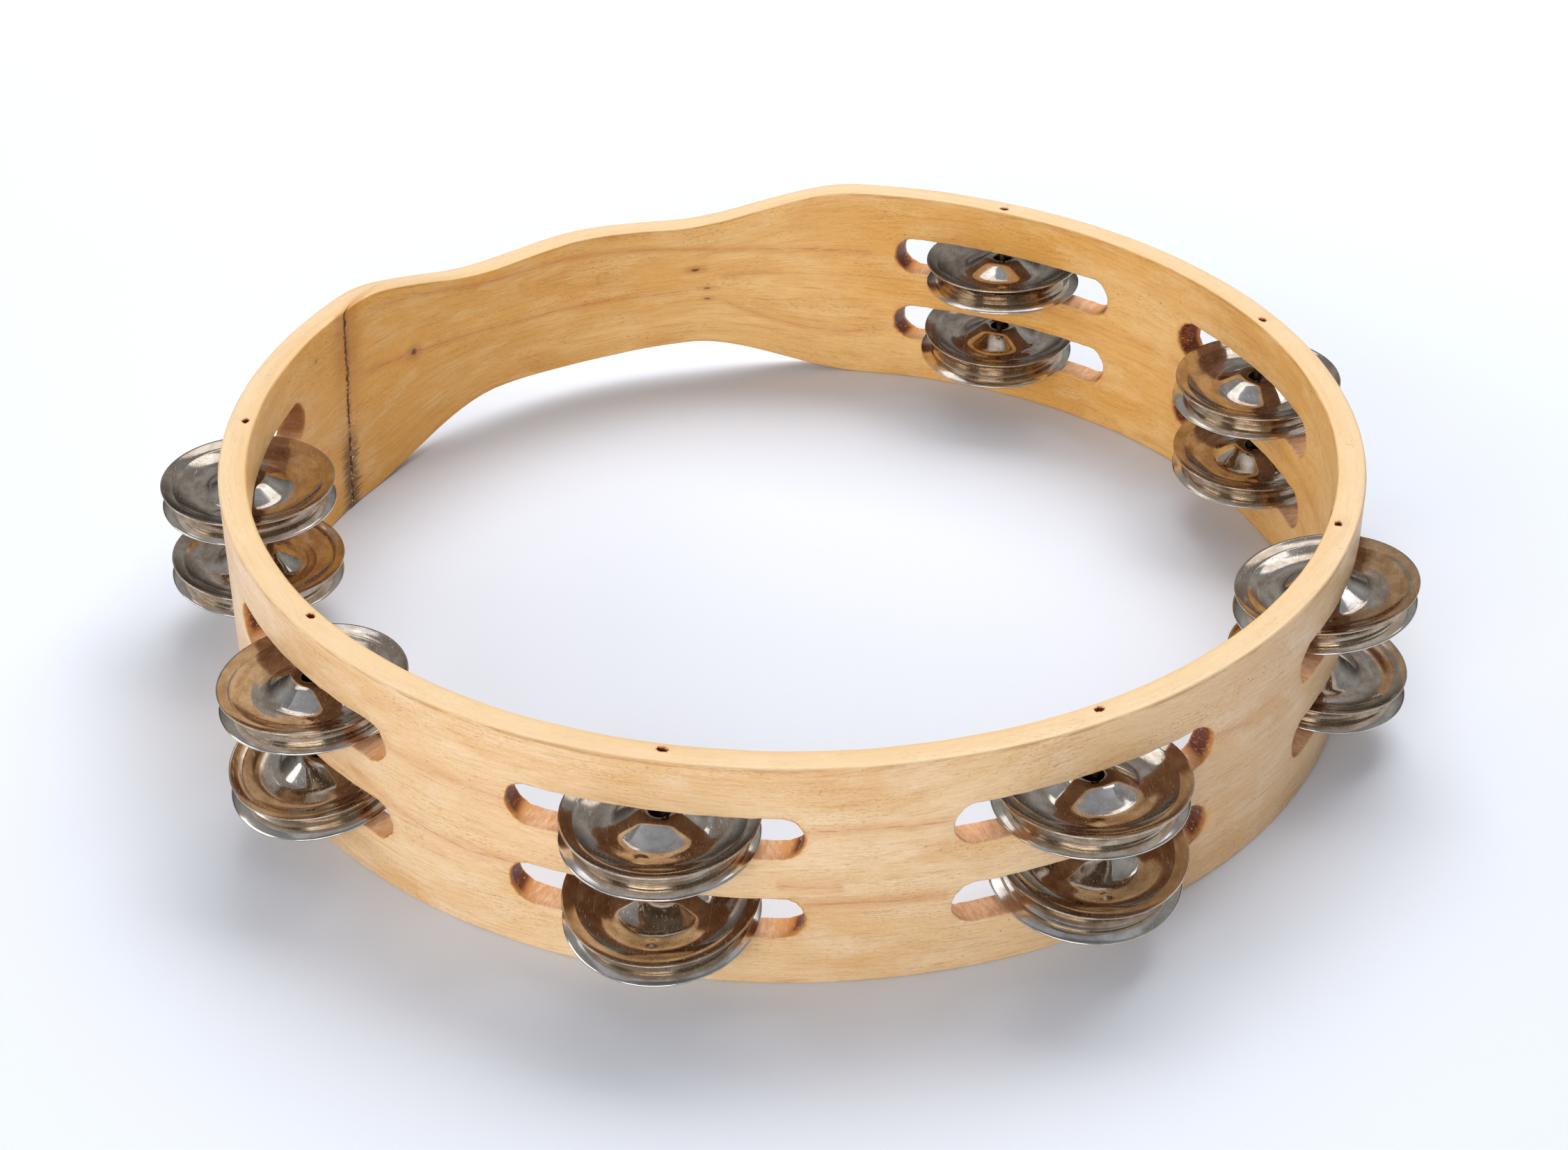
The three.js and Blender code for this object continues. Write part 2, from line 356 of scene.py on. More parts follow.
def knot(s, along, height, depth, spot):
    """How much of one knot's dark core is here, and how much of the ring of grain round it."""
    angle, middle, half_length, half_height, strength = spot
    x = s.over(s.minus(along, along_strip(angle)), half_length)
    y = s.over(s.minus(height, middle), half_height)
    ragged = s.centred(s.noise(s.join(x, y, angle)), 0.8)
    away = s.plus(s.math("SQRT", s.plus(s.times(x, x), s.times(y, y))), ragged)
    inside = s.band(depth, 2.0, 4.5)
    core = s.times(s.fade(away, 0.35, 1.0), inside, strength)
    ring = s.times(s.fade(away, 0.8, 3.2), inside, strength)
    return core, ring


def maple_material():
    s = Shader("maple")
    strip = s.attribute("strip")
    along, height, depth = s.split(strip)
    cut, burn, _ = s.split(s.attribute("cut"))

    risen = s.plus(height, s.centred(s.noise(strip, (0.008, 0.03, 0.05)), 14.0))
    grain = s.join(along, risen, depth)

    # Broad tone, mottling, growth rings, streaks, fibres and pores, each finer than the last.
    tone = s.noise(strip, (0.014, 0.045, 0.2), (3, 0, 0))
    mottle = s.noise(grain, (0.07, 0.14, 0.3), (0, 6, 2), detail=4.0, roughness=0.6)
    rings = s.noise(grain, (0.0028, 0.17, 0.55), detail=6.0, roughness=0.62)
    streak = s.noise(grain, (0.07, 1.0, 1.4), (7, 1, 0), detail=4.0, roughness=0.65)
    fibre = s.noise(grain, (0.22, 2.4, 3.0), detail=4.0, roughness=0.65)
    fine = s.noise(grain, (0.9, 6.5, 7.0))
    pore = s.band(s.noise(grain, (0.75, 5.0, 6.0), (9, 2, 4), detail=1.0), 0.62, 0.7)
    porous = s.band(s.noise(strip, (0.05, 0.15, 0.4), (5, 5, 5)), 0.4, 0.62, 0.15, 1.0)
    pore = s.times(pore, porous)
    contour = s.math("ABSOLUTE", s.plus(rings, -0.47))
    contour = s.times(s.fade(contour, 0.0, 0.006), s.band(tone, 0.42, 0.6, 0.1, 0.6))

    # The inside face is more golden than the outside, most of all beside the joint, and the top edge
    # is paler than both.
    gap = seam_distance(s, along, height, depth)
    away = s.math("ABSOLUTE", gap)
    inward = s.band(depth, 2.5, THICKNESS)

    def shade(outside, inside):
        return s.mix(inward, outside, inside)

    on_top = s.times(s.band(height, HEIGHT - 0.5, HEIGHT - 0.1), s.fade(cut, 0.0, 0.2))
    beside_joint = s.times(s.band(away, 0.0, 75.0, 0.75, 0.0), inward)
    amber = s.noise(grain, (0.03, 0.075, 0.3), (2, 8, 0), detail=3.0, roughness=0.6)
    wood = s.mix(s.band(tone, 0.3, 0.72), shade("EFCFA2", "F0C27C"), shade("E2B77F", "E0A64E"))
    wood = s.mix(s.band(rings, 0.35, 0.7, 0.0, 0.4), wood, shade("DAA768", "D59A46"))
    wood = s.mix(s.band(amber, 0.52, 0.7, 0.0, 0.45), wood, shade("D79E50", "D39338"))
    wood = s.mix(beside_joint, wood, "E6A434")
    for layer, low, high, most, outside, inside in (
        (mottle, 0.45, 0.68, 0.4, "F5DCBC", "F3D092"),
        (streak, 0.5, 0.72, 0.5, "CB9358", "C78A3A"),
        (fibre, 0.45, 0.75, 0.45, "C48A4C", "C5873C"),
        (fine, 0.5, 0.78, 0.4, "F8E8CC", "F3D193"),
    ):
        wood = s.mix(s.band(layer, low, high, 0.0, most), wood, shade(outside, inside))
    wood = s.mix(s.times(contour, 0.6), wood, "A8642C")
    wood = s.mix(s.times(pore, 0.5), wood, "97561F")

    # Freckles: a few dark dots, in clusters.
    dots = s.cells(s.stretch(strip, (0.45, 0.5, 0.0)))
    cluster = s.band(s.noise(strip, (0.035, 0.06, 0.3), (1, 3, 9), detail=1.0), 0.6, 0.68)
    freckle = s.times(s.fade(dots, 0.06, 0.13), cluster)
    wood = s.mix(s.times(freckle, 0.75), wood, "6E3A17")
    wood = s.mix(s.times(on_top, 0.65), wood, "DABF98")
    corner = s.times(s.band(height, HEIGHT - 1.0, HEIGHT - 0.6), s.fade(height, HEIGHT - 0.3, HEIGHT))
    wood = s.mix(s.times(corner, s.band(streak, 0.4, 0.62, 0.0, 0.6)), wood, "B5803F")

    lines = 0.0
    for line in GROWTH_LINES:
        lines = s.math("MAXIMUM", lines, growth_line(s, along, height, depth, line))
    wood = s.mix(s.times(lines, 0.75), wood, "C0702A")

    cores = 0.0
    for spot in KNOTS:
        core, ring = knot(s, along, height, depth, spot)
        cores = s.math("MAXIMUM", cores, core)
        wood = s.mix(s.times(ring, 0.4), wood, "AC6428")
    wood = s.mix(s.times(cores, 0.9), wood, "5A2410")

    # Scarf joint: an amber tint where glue soaked in, and a black stain along the lower part.
    feather = s.noise(strip, (0.16, 2.6, 2.6), (0, 4, 0), detail=3.0)
    spread = s.plus(away, s.times(feather, -9.0))
    soaked = s.times(s.fade(spread, -3.0, 4.0), s.band(height, 18, 44, 0.15, 0.6), inward)
    wood = s.mix(soaked, wood, "B8741F")
    low_down = s.fade(height, 13, 24)
    stain = s.times(s.fade(spread, -3.6, 0.4), low_down, inward)
    wood = s.mix(s.times(stain, 0.8), wood, "2A241B")
    off_top = s.fade(height, HEIGHT - 1.5, HEIGHT - 0.5)
    halo = s.times(s.band(away, 0.3, 1.8, 0.5, 0.0), s.band(feather, 0.3, 0.6), inward, off_top)
    wood = s.mix(halo, wood, "85481A")

    # Cut faces: pink-orange end grain with tool marks, scorched where the cutter turned.
    tooth = s.noise(strip, (1.1, 1.1, 0.35), detail=5.0, roughness=0.75)
    cut_wood = s.mix(s.band(tooth, 0.3, 0.7), "E2B68E", "C48B60")
    wood = s.mix(cut, wood, cut_wood)
    ragged_burn = s.plus(burn, s.centred(tooth, 0.7))
    within = s.times(s.band(depth, 0.5, 1.8), s.band(depth, THICKNESS - 1.0, THICKNESS - 0.1, 1.0, 0.4))
    scorch = s.mix(s.band(tooth, 0.45, 0.7), "B9732E", "DDA552")
    char = s.mix(s.band(tooth, 0.45, 0.72), "5A200B", "A34C18")
    wood = s.mix(s.band(ragged_burn, 0.08, 0.4, 0.0, 0.85), wood, scorch)
    wood = s.mix(s.times(s.band(ragged_burn, 0.3, 0.7, 0.0, 0.95), within), wood, char)
    # Glossy resin specks in the scorch, painted pale as glints, and smoother than the wood round them.
    resin_and_painted_glint = s.noise(strip, (2.2, 2.2, 1.4), (3, 3, 3), detail=1.0)
    resin_and_painted_glint = s.times(s.band(resin_and_painted_glint, 0.66, 0.7), s.band(burn, 0.4, 0.8))
    wood = s.mix(s.times(resin_and_painted_glint, 0.6), wood, "F0D2A0")
    cut_edge = s.times(s.band(cut, 0.15, 0.5), s.fade(cut, 0.75, 1.0), s.band(burn, 0.05, 0.3))
    wood = s.mix(s.times(cut_edge, s.band(tooth, 0.35, 0.6, 0.3, 0.9)), wood, "D08D3C")

    rough = s.plus(
        0.36, s.times(fibre, 0.12), s.times(pore, 0.2), s.times(cut, 0.22),
        s.times(burn, -0.2), s.times(resin_and_painted_glint, -0.2),
    )
    surface = s.plus(
        s.times(fibre, 0.35), s.times(fine, 0.3), s.times(pore, -1.1),
        s.times(cores, -1.0), s.times(cut, tooth, 3.0), s.times(tone, 2.0),
    )
    relief = s.bump(surface, 0.07, 0.6)
    return s.finish(Base_Color=wood, Roughness=rough, Normal=relief, Coat_Weight=0.12, Coat_Roughness=0.3)


def glue_material():
    s = Shader("dried_glue")
    place = s.node("NewGeometry").outputs["Position"]
    pale, _, _ = s.split(s.attribute("pale"))
    lumps = s.noise(place, (900, 900, 900), detail=3.0)
    dark = s.mix(s.band(lumps, 0.35, 0.65), "3E2010", "8A5626")
    crumb = s.mix(s.band(lumps, 0.4, 0.65), "C08F4E", "E2BF84")
    shade = s.mix(pale, dark, crumb)
    rough = s.band(lumps, 0.3, 0.7, 0.45, 0.8)
    return s.finish(Base_Color=shade, Roughness=rough, Normal=s.bump(lumps, 0.15, 0.6))


def nail_material():
    s = Shader("nail_steel")
    place = s.node("NewGeometry").outputs["Position"]
    rust = s.noise(place, (500, 500, 250), detail=4.0)
    drawn = s.noise(place, (3000, 3000, 60))
    shade = s.mix(s.band(rust, 0.45, 0.7), "5E554C", "3A2417")
    rough = s.band(rust, 0.35, 0.7, 0.32, 0.7)
    return s.finish(Base_Color=shade, Metallic=0.9, Roughness=rough, Normal=s.bump(drawn, 0.02, 0.5))


def scratches(s, plate, turn, seed):
    """Thin straight scratches that all run one way."""
    lines = s.noise(s.stretch(plate, (0.13, 4.5, 1.0), (seed, seed * 2.3, 0), turn), detail=1.0)
    patches = s.noise(plate, (0.2, 0.2, 1.0), (seed * 5.1, seed, 0))
    return s.times(s.band(lines, 0.7, 0.73), s.band(patches, 0.4, 0.56))


def nickel_material():
    s = Shader("plated_steel")
    plate = s.attribute("plate")
    across, other, radius = s.split(plate)
    angle = s.math("ARCTAN2", other, across)

    which = s.attribute("which")
    _, _, is_upturned = s.split(which)
    place = s.shifted(plate, which)
    worn = s.plus(scratches(s, place, 20, 1), scratches(s, place, 75, 4), scratches(s, place, 140, 9))
    worn = s.times(s.math("MINIMUM", worn, 1.0), s.band(is_upturned, 0.0, 1.0, 0.25, 1.0))
    haze = s.noise(place, (0.22, 0.22, 0.4), detail=4.0, roughness=0.6)
    ripple = s.noise(place, (0.12, 0.12, 0.2), (4, 8, 0), detail=1.0)
    from_crease = s.math("ABSOLUTE", s.plus(radius, -JINGLE_FLANGE_R))
    drawn_marks = s.noise(s.join(s.times(angle, 26.0), s.times(radius, 0.25), 3.0), detail=3.0)
    drawn_marks = s.times(drawn_marks, s.fade(from_crease, 0.05, 0.4), is_upturned)

    # Specks of dirt and pitted plating, thickest in the valley.
    speck = s.cells(s.stretch(place, (2.8, 2.8, 0.0)))
    picked = s.cells(s.stretch(place, (2.8, 2.8, 0.0)), "Color")
    chosen, tint, size = s.split(picked)
    in_valley = s.times(s.band(radius, 7.0, 10.5), s.band(radius, 15.5, 17.5, 1.0, 0.1))
    crowding = s.plus(s.times(in_valley, 0.7), s.times(s.band(haze, 0.4, 0.7), 0.25))
    crowding = s.times(crowding, s.band(is_upturned, 0.0, 1.0, 0.3, 1.0))
    is_speck = s.math("LESS_THAN", chosen, crowding)
    dirt = s.times(s.fade(s.minus(speck, s.times(size, 0.16)), 0.04, 0.15), is_speck)

    metal = s.mix(s.band(haze, 0.35, 0.7), "E0DAD0", "C8BEB0")
    # Tarnish on the upturned plates' flange, partly a painted reflection: its brown-tan stands in for the
    # wood that the flange reflects, and the flange is a little rougher there.
    on_flange = s.band(radius, JINGLE_FLANGE_R - 0.4, JINGLE_FLANGE_R)
    tarnish_and_painted_reflection = s.times(on_flange, is_upturned, s.band(haze, 0.3, 0.7, 0.4, 0.8))
    metal = s.mix(tarnish_and_painted_reflection, metal, "AE9880")
    dull = s.plus(s.times(in_valley, s.band(haze, 0.35, 0.7, 0.2, 0.6)), s.band(radius, 2.5, 6.5, 0.5, 0.0))
    metal = s.mix(dull, metal, "A98A6C")
    metal = s.mix(s.times(dirt, 0.9), metal, s.mix(tint, "E8B870", "6A4428"))
    metal = s.mix(s.times(worn, 0.5), metal, "F4F1EC")
    rough = s.plus(
        s.band(haze, 0.3, 0.75, 0.05, 0.12), s.times(worn, 0.25), s.times(dirt, 0.4),
        s.times(in_valley, 0.04), s.times(tarnish_and_painted_reflection, 0.08), s.band(is_upturned, 0.0, 1.0, 0.06, 0.0),
    )
    surface = s.plus(
        s.times(worn, -0.4), s.times(dirt, 1.4), drawn_marks, s.times(haze, 0.35), s.times(ripple, 3.0),
    )
    relief = s.bump(surface, 0.02, 0.6)
    return s.finish(Base_Color=metal, Metallic=1.0, Roughness=rough, Normal=relief)


def floor_material():
    s = Shader("paper_floor")
    place = s.node("NewGeometry").outputs["Position"]
    mottle = s.noise(place, (3, 3, 3))
    shade = s.mix(mottle, "D6DAE2", "DADEE6")
    return s.finish(Base_Color=shade, Roughness=0.75)


# ------------ meshes


def add_to_scene(name, data):
    made = bpy.data.objects.new(name, data)
    bpy.context.scene.collection.objects.link(made)
    return made


def add_closed(name, places, faces, material):
    """A mesh object that encloses a volume, with its faces turned outwards."""
    made = add_object(name, places, faces, material)
    work = bmesh.new()
    work.from_mesh(made.data)
    bmesh.ops.recalc_face_normals(work, faces=work.faces)
    work.to_mesh(made.data)
    work.free()
    return made


def add_object(name, places, faces, material):
    """A smooth mesh object from places in millimetres."""
    mesh = bpy.data.meshes.new(name)
    mesh.from_pydata((np.asarray(places) * MM).tolist(), [], faces)
    mesh.polygons.foreach_set("use_smooth", [True] * len(mesh.polygons))
    mesh.materials.append(material)
    return add_to_scene(name, mesh)


def add_vectors(mesh, name, domain, vectors):
    attribute = mesh.attributes.new(name, "FLOAT_VECTOR", domain)
    attribute.data.foreach_set("vector", np.asarray(vectors, np.float32).ravel())


def add_ring(places, ring):
    """Adds a ring of places to the rest, and returns their numbers."""
    places += ring
    return list(range(len(places) - len(ring), len(places)))


def bridge(faces, first, second, closed):
    """Quads between two runs of points of the same length."""
    count = len(first)
    for i in range(count if closed else count - 1):
        j = (i + 1) % count
        faces.append((first[i], first[j], second[j], second[i]))


def bridge_all(faces, runs, closed):
    """Quads between each run of points and the next."""
    for first, second in zip(runs, runs[1:]):
        bridge(faces, first, second, closed)


# ------------ hoop


def seam_angle(depth, height):
    inside = lerp(SEAM_INSIDE_BOTTOM, SEAM_INSIDE_TOP, height / HEIGHT)
    return lerp(SEAM_OUTSIDE, inside, depth / THICKNESS)


def column_angle(column, depth, height):
    """The angle of a point on a column, which leans with the scarf joint near it and is radial past it."""
    lean = seam_angle(depth, height) - SEAM_OUTSIDE
    near_start = max(0, 1 - (column - SEAM_OUTSIDE) / (LAP_END - SEAM_OUTSIDE))
    near_end = max(0, (column - LAP_START) / (SEAM_OUTSIDE + TURN - LAP_START))
    return column + lean * max(near_start, near_end)


def grip_edges(angle):
    """Heights of the hoop's bottom and top edges at an angle."""
    from_middle = abs((angle - GRIP_ANGLE + TURN / 2) % TURN - TURN / 2)
    scallop = 1 - smooth(GRIP_FLAT, GRIP_HALF_SPAN, from_middle)
    swell = 1 - smooth(0, GRIP_FLAT, from_middle)
    bottom = GRIP_BOTTOM_DEPTH * scallop - GRIP_BOTTOM_SWELL * swell
    top = HEIGHT - GRIP_TOP_DEPTH * scallop + GRIP_TOP_SWELL * swell
    return bottom, top


# How far off true the sanded surface is: the depth and size of its waves, across the faces and up
# and down the edges.
FACE_WAVES = ((0.07, 16), (0.02, 4))
EDGE_WAVE_DEPTH = 0.12
EDGE_WAVE_SIZE = 12
EDGE_WAVE_REACH = 6


def wall_place(angle, depth, height):
    """Where a point of the hoop is. height is the height before the grip was cut."""
    bottom, top = grip_edges(angle)
    turn = math.radians(angle)
    radius = OUTER_R - depth
    x = math.cos(turn)
    y = math.sin(turn)
    z = lerp(bottom, top, height / HEIGHT)
    radius += sum(wave * wavy(x * radius, y * radius, z, size) for wave, size in FACE_WAVES)
    near_edge = smooth(HEIGHT / 2 - EDGE_WAVE_REACH, HEIGHT / 2, abs(height - HEIGHT / 2))
    z += EDGE_WAVE_DEPTH * near_edge * wavy(x * OUTER_R, y * OUTER_R, 5 + height, EDGE_WAVE_SIZE)
    return (radius * x, CENTRE_Y + radius * y, z)


class Skin:
    """The hoop's surface as it is built: places, what the wood is like there, and faces."""

    def __init__(self):
        self.places = []
        self.strip = []
        self.cut = []
        self.faces = []

    def point(self, column, depth, height, cut=0.0, burn=0.0, raised=0.0):
        angle = column_angle(column, depth, height)
        x, y, z = wall_place(angle, depth, height)
        self.places.append((x, y, z + raised))
        self.strip.append((along_strip(angle), height, depth))
        self.cut.append((cut, burn, 0))
        return len(self.places) - 1

    def row(self, depth, height):
        return [self.point(column, depth, height) for column in COLUMNS]

    def to_object(self, name, material):
        """Joins the strip's two ends. The strip attribute is kept on face corners, so that the grain
        still breaks at the joint."""
        keys = [tuple(round(value, 4) for value in place) for place in self.places]
        index_of = {}
        for key in keys:
            index_of.setdefault(key, len(index_of))
        joined = [index_of[key] for key in keys]
        cut = np.zeros((len(index_of), 3))
        for old, new in enumerate(joined):
            cut[new] = np.maximum(cut[new], self.cut[old])
        strip_at = {}
        faces = []
        for face in self.faces:
            new_face = tuple(joined[i] for i in face)
            faces.append(new_face)
            strip_at[frozenset(new_face)] = {joined[i]: self.strip[i] for i in face}
        made = add_closed(name, list(index_of), faces, material)
        corners = []
        for polygon in made.data.polygons:
            known = strip_at[frozenset(polygon.vertices)]
            corners += [known[i] for i in polygon.vertices]
        add_vectors(made.data, "strip", "CORNER", corners)
        add_vectors(made.data, "cut", "POINT", cut)
        return made


# Triangles flatter than this, along a patch's straight border, are left out.
SLIVER = 1e-3


class Patch:
    """A flat piece of the unrolled hoop, filled with triangles between its edges and its holes."""

    def __init__(self):
        self.ids = []
        self.flat = []
        self.edges = []
        self.holes = []

    def add(self, ids, flat):
        self.ids += ids
        self.flat += flat

    def add_hole(self, ids, flat):
        first = len(self.ids)
        count = len(ids)
        self.add(ids, flat)
        self.edges += [(first + i, first + (i + 1) % count) for i in range(count)]
        self.holes.append(flat)

    def fill(self, skin):
        points = [Vector(place) for place in self.flat]
        _, _, triangles, origins, _, _ = delaunay_2d_cdt(points, self.edges, [], 0, 1e-7)
        boxes = [(np.min(hole, axis=0), np.max(hole, axis=0), hole) for hole in self.holes]
        for triangle in triangles:
            ids = [origins[i][0] for i in triangle]
            corners = np.array([self.flat[i] for i in ids])
            middle = corners.mean(axis=0)
            is_sliver = np.ptp(corners, axis=0).min() < SLIVER
            in_hole = any(
                (low <= middle).all() and (middle <= high).all() and is_inside(middle, hole)
                for low, high, hole in boxes
            )
            if not is_sliver and not in_hole:
                skin.faces.append(tuple(self.ids[i] for i in ids))


def is_inside(place, outline):
    """Whether a place lies inside a closed outline."""
    x, y = place
    inside = False
    for (x0, y0), (x1, y1) in zip(outline, outline[1:] + outline[:1]):
        if (y0 > y) != (y1 > y) and x < x0 + (x1 - x0) * (y - y0) / (y1 - y0):
            inside = not inside
    return inside


COLUMNS = np.linspace(SEAM_OUTSIDE, SEAM_OUTSIDE + TURN, round(TURN / COLUMN_STEP) + 1).tolist()


def station_angle(index):
    """A pin's angle, counted on from the scarf joint."""
    low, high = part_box(f"pin_{index + 1}")
    middle = (low + high) / 2 / MM
    angle = math.degrees(math.atan2(middle.y - CENTRE_Y, middle.x))
    return angle if angle > SEAM_OUTSIDE else angle + TURN


def slot_outline():
    """The slot's outline from its middle, anticlockwise: places, and which way is outwards there."""
    points = []
    for side in (1, -1):
        for turn in np.radians(np.linspace(-90, 90, 18, endpoint=False)):
            across, up = side * math.cos(turn), side * math.sin(turn)
            points.append((side * SLOT_STRAIGHT + SLOT_END_R * across, SLOT_END_R * up, across, up))
        for x in np.linspace(SLOT_STRAIGHT, -SLOT_STRAIGHT, 30, endpoint=False):
            points.append((side * x, side * SLOT_END_R, 0, side))
    return points


# The cut's edge is broken a little at each face: how deep each row of points is, and how far it
# stands back from the slot's outline.
SLOT_EDGE = ((0, 0.42), (0.07, 0.2), (0.22, 0.06), (0.6, 0))
SLOT_INNER_DEPTHS = (1.8, 3.1, 4.4)


def slot_rows():
    far = [(THICKNESS - depth, back) for depth, back in reversed(SLOT_EDGE)]
    return [*SLOT_EDGE, *[(depth, 0) for depth in SLOT_INNER_DEPTHS], *far]


# The cutter turned at the ends of a slot. It left them scorched, from before the straight's end to
# where the scorch is full, with less on the floor, and its edges torn, in fine and in broad waves.
SCORCH_START = SLOT_STRAIGHT - 5
SCORCH_FULL = SLOT_STRAIGHT + 1.5
FLOOR_SCORCH = 0.3
FINE_TEAR_SIZE = 0.9
BROAD_TEAR_SIZE = 2.5
TEAR_DEPTH = 0.07
END_TEAR_DEPTH = 0.1


def slot_row(skin, middle, floor, depth, back, burns):
    """One row of points round a slot, and where they are on the unrolled face."""
    radius = OUTER_R - depth
    ids, flat = [], []
    for along, up, across, upwards in slot_outline():
        in_end = smooth(SCORCH_START, SCORCH_FULL, abs(along))
        off_floor = smooth(-1, -0.6, up / SLOT_END_R)
        burn = in_end * burns[int(along > 0)] * lerp(FLOOR_SCORCH, 1, off_floor)
        torn = wavy(along + middle, up + floor, depth * 0.4, FINE_TEAR_SIZE)
        torn += wavy(along + middle, up, depth, BROAD_TEAR_SIZE)
        stand = back * (1 + 0.5 * torn) + TEAR_DEPTH * (1 + torn) + END_TEAR_DEPTH * in_end * (1 + torn)
        place = along + across * stand
        height = floor + SLOT_END_R + up + upwards * stand
        column = middle + math.degrees(math.asin(place / radius))
        cut = 1 - smooth(0.08, 0.4, back)
        ids.append(skin.point(column, depth, height, cut, burn * lerp(0.2, 1, cut)))
        flat.append((flat_along(column), height))
    return ids, flat


def cut_slot(skin, outer_face, inner_face, middle, floor, burns):
    rows = [slot_row(skin, middle, floor, depth, back, burns) for depth, back in slot_rows()]
    bridge_all(skin.faces, [ids for ids, _ in rows], closed=True)
    outer_face.add_hole(*rows[0])
    inner_face.add_hole(*rows[-1])


def slot_clearance(column, height, slots):
    """How far a place on a face is from the nearest slot's outline, outwards."""
    nearest = THICKNESS
    for middle, floor in slots:
        along = abs(flat_along(column - middle))
        beside = math.hypot(max(0, along - SLOT_STRAIGHT), height - floor - SLOT_END_R)
        nearest = min(nearest, beside - SLOT_END_R)
    return nearest


# This station's clockwise slot ends were cut cooler than the rest.
SCARCELY_BURNT_STATION = 3

FACE_ROWS = np.linspace(EDGE_R + 0.7, HEIGHT - EDGE_R - 0.7, 22).tolist()
FACE_CLEARANCE = 1.25


def grow_face(skin, patch, depth, low_row, high_row, slots):
    """Fills one broad face of the strip between its bottom and top rows, round the slots."""
    flat_columns = [flat_along(column) for column in COLUMNS]
    patch.add(low_row, [(x, EDGE_R) for x in flat_columns])
    patch.add(high_row, [(x, HEIGHT - EDGE_R) for x in flat_columns])
    for height in FACE_ROWS:
        for index, column in enumerate(COLUMNS):
            is_end = index in (0, len(COLUMNS) - 1)
            if is_end or index % 2 == 0 and slot_clearance(column, height, slots) > FACE_CLEARANCE:
                patch.add([skin.point(column, depth, height)], [(flat_along(column), height)])
    patch.fill(skin)


def edge_rows(skin, outer_row, inner_row, is_top):
    """The rounded corners of the strip's top or bottom edge. Returns the two rows that bound its flat."""
    def height_at(drop):
        return HEIGHT - drop if is_top else drop

    flats = []
    for face_row, side in ((outer_row, 1), (inner_row, -1)):
        rows = [face_row]
        for turn in (*EDGE_TURNS, 90):
            in_from_face = EDGE_R * (1 - math.cos(math.radians(turn)))
            drop = EDGE_R * (1 - math.sin(math.radians(turn)))
            depth = in_from_face if side == 1 else THICKNESS - in_from_face
            rows.append(skin.row(depth, height_at(drop)))
        bridge_all(skin.faces, rows, closed=False)
        flats.append(rows[-1])
    return flats


# Each row of points down a nail hole: how deep it is, and how far it stands back. The second is the
# torn lip, and the wood is cut from there down.
PIN_HOLE_ROWS = ((0, 0.32), (0, 0.1), (0.12, 0), (0.45, -0.05), (1.0, -0.1), (1.6, -0.3))
PIN_HOLE_STEPS = 32


def pin_hole(skin, patch, column, seed):
    """A ragged nail hole in the top edge, with lifted fibres round it."""
    rows = []
    lip_back = PIN_HOLE_ROWS[1][1]
    for down, back in PIN_HOLE_ROWS:
        is_lip = back == lip_back
        is_cut = back <= lip_back
        ids, flat = [], []
        for turn in turns(PIN_HOLE_STEPS):
            across, inwards = math.cos(turn), math.sin(turn)
            torn = wavy(across * 1.2 + seed * 9, inwards * 1.2, down * 0.5, 0.55)
            along = (PIN_HOLE_ALONG + back + 0.4 * torn) * across
            depth = PIN_DEPTH + (PIN_HOLE_ACROSS + back + 0.25 * torn) * inwards
            place = column + math.degrees(along / (OUTER_R - PIN_DEPTH))
            lift = 0.09 * (1 + wavy(across * 3 + seed, inwards * 3, 0, 1)) if is_lip else 0
            burn = lerp(0.1, 1, smooth(0, 0.4, down)) if is_cut else 0
            ids.append(skin.point(place, depth, HEIGHT - down, cut=is_cut, burn=burn, raised=lift))
            flat.append((flat_along(place), depth))
        rows.append((ids, flat))
    bridge_all(skin.faces, [ids for ids, _ in rows], closed=True)
    skin.faces.append(tuple(rows[-1][0]))
    patch.add_hole(*rows[0])


def make_hoop(stations, material):
    skin = Skin()
    outer_low, outer_high = skin.row(0, EDGE_R), skin.row(0, HEIGHT - EDGE_R)
    inner_low, inner_high = skin.row(THICKNESS, EDGE_R), skin.row(THICKNESS, HEIGHT - EDGE_R)

    chance = random.Random(11)
    slots = [(angle - SLOT_LAG, floor) for angle in stations for floor in SLOT_FLOORS.values()]
    outer_face, inner_face = Patch(), Patch()
    for number, (middle, floor) in enumerate(slots):
        burns = [chance.uniform(0.5, 0.85), chance.uniform(0.85, 1.15)]
        if number // 2 == SCARCELY_BURNT_STATION:
            burns[0] *= 0.3
        cut_slot(skin, outer_face, inner_face, middle, floor, burns)
    grow_face(skin, outer_face, 0, outer_low, outer_high, slots)
    grow_face(skin, inner_face, THICKNESS, inner_low, inner_high, slots)

    low_outer, low_inner = edge_rows(skin, outer_low, inner_low, is_top=False)
    middle_low = [skin.row(depth, 0) for depth in (2.4, 3.8)]
    bridge_all(skin.faces, [low_outer, *middle_low, low_inner], closed=False)

    high_outer, high_inner = edge_rows(skin, outer_high, inner_high, is_top=True)
    top = Patch()
    flat_columns = [flat_along(column) for column in COLUMNS]
    top.add(high_outer, [(x, EDGE_R) for x in flat_columns])
    top.add(high_inner, [(x, THICKNESS - EDGE_R) for x in flat_columns])
    for number, angle in enumerate(stations):
        pin_hole(skin, top, angle, number)
    for depth in (1.75, 2.6, 3.6, 4.4):
        for column in COLUMNS:
            near_pin = min(abs(column - angle) for angle in stations) < 1
            if not near_pin:
                top.add([skin.point(column, depth, HEIGHT)], [(flat_along(column), depth)])
    top.fill(skin)
    return skin.to_object("wooden_hoop", material)


# ------------ scarf


